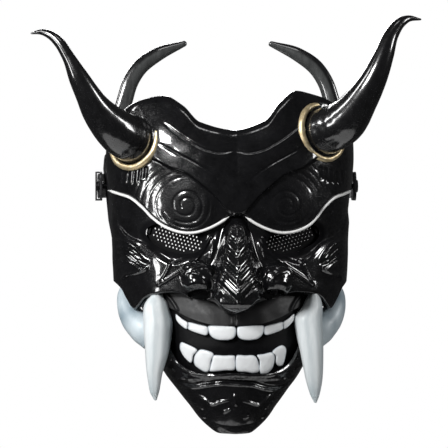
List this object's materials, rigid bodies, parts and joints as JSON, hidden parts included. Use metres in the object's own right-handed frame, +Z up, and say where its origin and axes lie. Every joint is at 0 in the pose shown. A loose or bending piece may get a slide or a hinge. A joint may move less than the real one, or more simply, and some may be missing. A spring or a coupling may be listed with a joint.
{
  "type": "horned demon mask",
  "caption": "Gloss black horned demon mask in the noh style, with gold-ringed horns, fangs, mesh eyes and a head strap.",
  "frame": {"origin": "the point between the wearer's brows that the forehead pad rests in front of, on the middle plane", "axes": "the face looks along -Y, +X is to the viewer's right, +Z is up"},
  "size_m": [0.2986, 0.2564, 0.3217],
  "materials": {
    "black_gloss": "high gloss black lacquer over moulded plastic",
    "black_satin": "satin black moulded plastic",
    "gold_paint": "pale gold, satin",
    "tooth_ivory": "bone white with grey edges, semi-gloss",
    "fang_ivory": "cool bone white with faint streaks, semi-gloss",
    "screen_black": "perforated sheet, matt black",
    "steel": "zinc plated",
    "black_metal": "black coated steel",
    "elastic": "woven black elastic webbing",
    "foam": "black fabric-faced foam"
  },
  "bodies": {
    "mask": {"eye_screen_clips": "black_satin", "face_shell": "black_gloss", "forehead_pad": "foam", "gum_plate": "black_satin", "horn_screws": "steel", "horn_washers": "steel", "jaw_screws": "steel", "jaw_shell": "black_gloss", "left_cheek_pad": "foam", "left_eye_screen": "screen_black", "left_fang": "fang_ivory", "left_front_horn": "black_gloss", "left_horn_ring": "gold_paint", "left_pivot_rivet": "black_metal", "left_rear_horn": "black_gloss", "left_side_panel": "black_satin", "left_tusk": "fang_ivory", "lower_teeth": "tooth_ivory", "rear_horn_screws": "black_metal", "right_cheek_pad": "foam", "right_eye_screen": "screen_black", "right_fang": "fang_ivory", "right_front_horn": "black_gloss", "right_horn_ring": "gold_paint", "right_pivot_rivet": "black_metal", "right_rear_horn": "black_gloss", "right_side_panel": "black_satin", "right_tusk": "fang_ivory", "side_panel_rivets": "black_metal", "upper_teeth": "tooth_ivory"},
    "strap": {"left_strap_tab": "black_satin", "right_strap_tab": "black_satin", "head_strap": "elastic", "strap_rivets": "black_metal"},
    "slider": {"strap_slider": "black_satin"}
  },
  "joints": [
    {"name": "strap_swing", "type": "hinge", "parent": "mask", "child": "strap", "pos_m": [0, 0.074, 0.038], "axis": [1, 0, 0], "range_deg": [-35, 45]},
    {"name": "slider_travel", "type": "slide", "parent": "strap", "child": "slider", "axis": [0, 1, 0], "range_m": [0, 0.018]}
  ]
}
